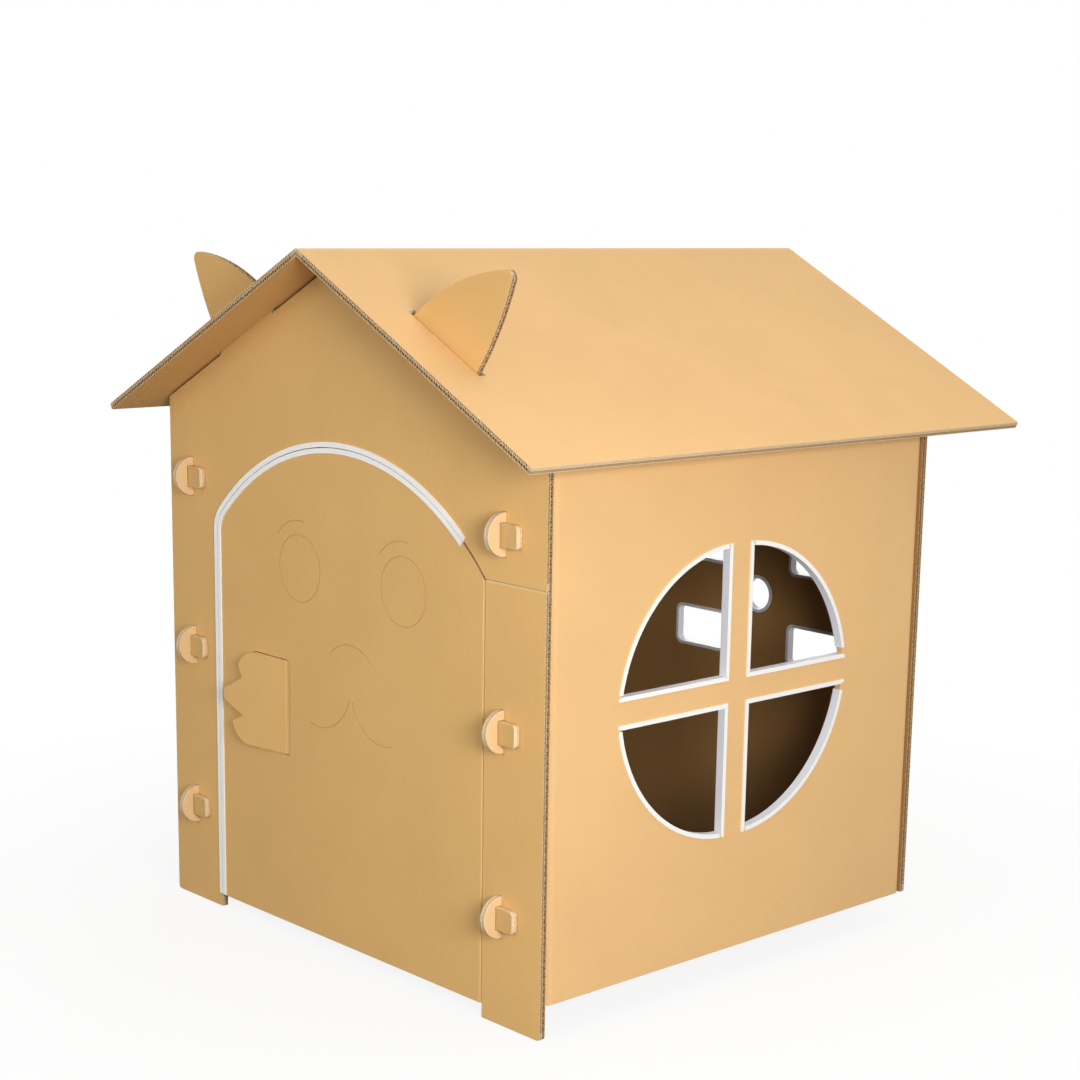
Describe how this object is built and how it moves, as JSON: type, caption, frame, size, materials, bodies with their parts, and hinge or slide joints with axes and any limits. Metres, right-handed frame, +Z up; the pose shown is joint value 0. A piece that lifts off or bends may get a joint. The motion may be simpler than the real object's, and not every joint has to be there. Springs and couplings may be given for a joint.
{
  "type": "cardboard playhouse",
  "caption": "Child's playhouse of folded corrugated board with a gable roof, animal ears, an arched door that folds open and a round window, locked with board keys.",
  "frame": {"origin": "on the floor under the middle of the roof's outline", "axes": "+Z up, +Y from the door wall to the back wall, +X towards the wall with the round window"},
  "size_m": [0.782, 0.817, 0.8337],
  "materials": {
    "wall_board": "matte",
    "roof_board": "matte",
    "lock_board": "matte",
    "edge_strip": "satin"
  },
  "bodies": {
    "house": {"back_strip_hole": "edge_strip", "back_strip_lower_left": "edge_strip", "back_strip_lower_right": "edge_strip", "back_strip_upper_left": "edge_strip", "back_strip_upper_right": "edge_strip", "back_wall": "wall_board", "door_strip_wall": "edge_strip", "front_wall": "wall_board", "hinge_strip": "wall_board", "left_wall": "wall_board", "lock_key_back_left_bottom": "lock_board", "lock_key_back_left_middle": "lock_board", "lock_key_back_left_top": "lock_board", "lock_key_back_right_bottom": "lock_board", "lock_key_back_right_middle": "lock_board", "lock_key_back_right_top": "lock_board", "lock_key_front_left_bottom": "lock_board", "lock_key_front_left_middle": "lock_board", "lock_key_front_left_top": "lock_board", "lock_key_front_right_bottom": "lock_board", "lock_key_front_right_middle": "lock_board", "lock_key_front_right_top": "lock_board", "lock_wedge_back_left_bottom": "lock_board", "lock_wedge_back_left_middle": "lock_board", "lock_wedge_back_left_top": "lock_board", "lock_wedge_back_right_bottom": "lock_board", "lock_wedge_back_right_middle": "lock_board", "lock_wedge_back_right_top": "lock_board", "lock_wedge_front_left_bottom": "lock_board", "lock_wedge_front_left_middle": "lock_board", "lock_wedge_front_left_top": "lock_board", "lock_wedge_front_right_bottom": "lock_board", "lock_wedge_front_right_middle": "lock_board", "lock_wedge_front_right_top": "lock_board", "right_wall": "wall_board", "roof": "roof_board", "window_strip_arc_lower_back": "edge_strip", "window_strip_arc_lower_front": "edge_strip", "window_strip_arc_upper_back": "edge_strip", "window_strip_arc_upper_front": "edge_strip", "window_strip_level_lower_back": "edge_strip", "window_strip_level_lower_front": "edge_strip", "window_strip_level_upper_back": "edge_strip", "window_strip_level_upper_front": "edge_strip", "window_strip_upright_lower_back": "edge_strip", "window_strip_upright_lower_front": "edge_strip", "window_strip_upright_upper_back": "edge_strip", "window_strip_upright_upper_front": "edge_strip"},
    "door": {"door_leaf": "wall_board", "door_strip_leaf": "edge_strip"}
  },
  "joints": [
    {"name": "door_fold", "type": "hinge", "parent": "house", "child": "door", "pos_m": [0.2525, -0.3485, 0.25], "axis": [0, 0, 1], "range_deg": [0, 110]}
  ]
}
